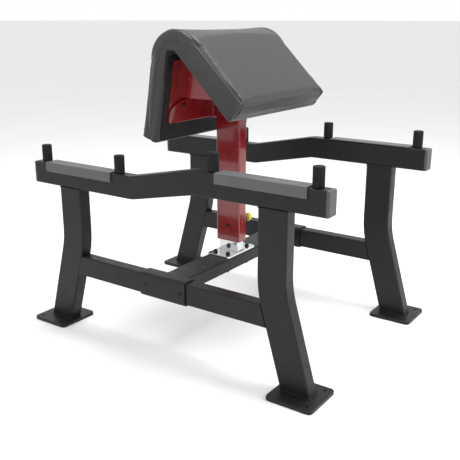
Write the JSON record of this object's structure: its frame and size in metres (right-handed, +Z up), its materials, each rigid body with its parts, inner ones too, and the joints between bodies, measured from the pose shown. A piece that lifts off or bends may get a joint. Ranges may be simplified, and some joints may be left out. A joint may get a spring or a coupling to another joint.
{
  "type": "arm curl bench",
  "caption": "Two-sided standing arm-curl bench: inverted-V pad on a height-adjustable red post between two bent side frames with barbell pegs.",
  "frame": {"origin": "on the floor, under the middle of the frame", "axes": "+X along the rails towards the sloping side of the pad, +Y towards the side with the pull pin, +Z up"},
  "size_m": [1.5046, 1.148, 1.3453],
  "materials": {
    "black_paint": "satin",
    "cap_plastic": "matte",
    "guard_plastic": "matte",
    "peg_rubber": "rough",
    "black_steel": "blackened",
    "chrome": "polished",
    "red_paint": "gloss",
    "glide_plastic": "matte",
    "bright_steel": "satin",
    "yellow_plastic": "gloss",
    "vinyl_cushion": "fine-grained coated fabric over foam",
    "black_board": "stained plywood"
  },
  "bodies": {
    "frame": {"rail_near": "black_paint", "rail_far": "black_paint", "leg_near_low": "black_paint", "leg_near_high": "black_paint", "leg_far_low": "black_paint", "leg_far_high": "black_paint", "foot_near_low": "black_paint", "foot_near_high": "black_paint", "foot_far_low": "black_paint", "foot_far_high": "black_paint", "crossbeam_near": "black_paint", "crossbeam_far": "black_paint", "coupling_sleeve_near": "black_paint", "coupling_sleeve_far": "black_paint", "centre_beam": "black_paint", "rail_cap_near_low": "cap_plastic", "rail_cap_near_high": "cap_plastic", "rail_cap_far_low": "cap_plastic", "rail_cap_far_high": "cap_plastic", "bar_guard_near_low": "guard_plastic", "bar_guard_near_high": "guard_plastic", "bar_guard_far_low": "guard_plastic", "bar_guard_far_high": "guard_plastic", "bar_peg_near_1": "peg_rubber", "bar_peg_near_2": "peg_rubber", "bar_peg_near_3": "peg_rubber", "bar_peg_near_4": "peg_rubber", "bar_peg_far_1": "peg_rubber", "bar_peg_far_2": "peg_rubber", "bar_peg_far_3": "peg_rubber", "bar_peg_far_4": "peg_rubber", "sleeve_bolt_near_1": "black_steel", "sleeve_bolt_near_2": "black_steel", "sleeve_bolt_far_1": "black_steel", "sleeve_bolt_far_2": "black_steel", "base_plate": "chrome", "base_bolt_1": "black_steel", "base_bolt_2": "black_steel", "base_bolt_3": "black_steel", "base_bolt_4": "black_steel", "inner_tube": "chrome"},
    "carriage": {"post": "red_paint", "set_screw": "black_steel", "glide_lower": "glide_plastic", "glide_upper": "glide_plastic", "pin_barrel": "black_steel", "pin_spring": "bright_steel", "pad_cushion": "vinyl_cushion", "board_upright": "black_board", "board_slope": "black_board", "wing_plate": "red_paint", "wing_bolt_near": "black_steel", "wing_bolt_far": "black_steel", "head_spacer": "red_paint", "head_plate": "red_paint", "gusset_near": "red_paint", "gusset_far": "red_paint"},
    "pull_pin": {"pin_plunger": "bright_steel", "pull_knob": "yellow_plastic"}
  },
  "joints": [
    {"name": "post_height", "type": "slide", "parent": "frame", "child": "carriage", "axis": [0, 0, 1], "range_m": [0, 0.15]},
    {"name": "pin_pull", "type": "slide", "parent": "carriage", "child": "pull_pin", "axis": [0, 1, 0], "range_m": [0, 0.008], "stiffness_N_per_m": 1500, "springref_m": -0.004, "deforming": ["pin_spring"]}
  ]
}
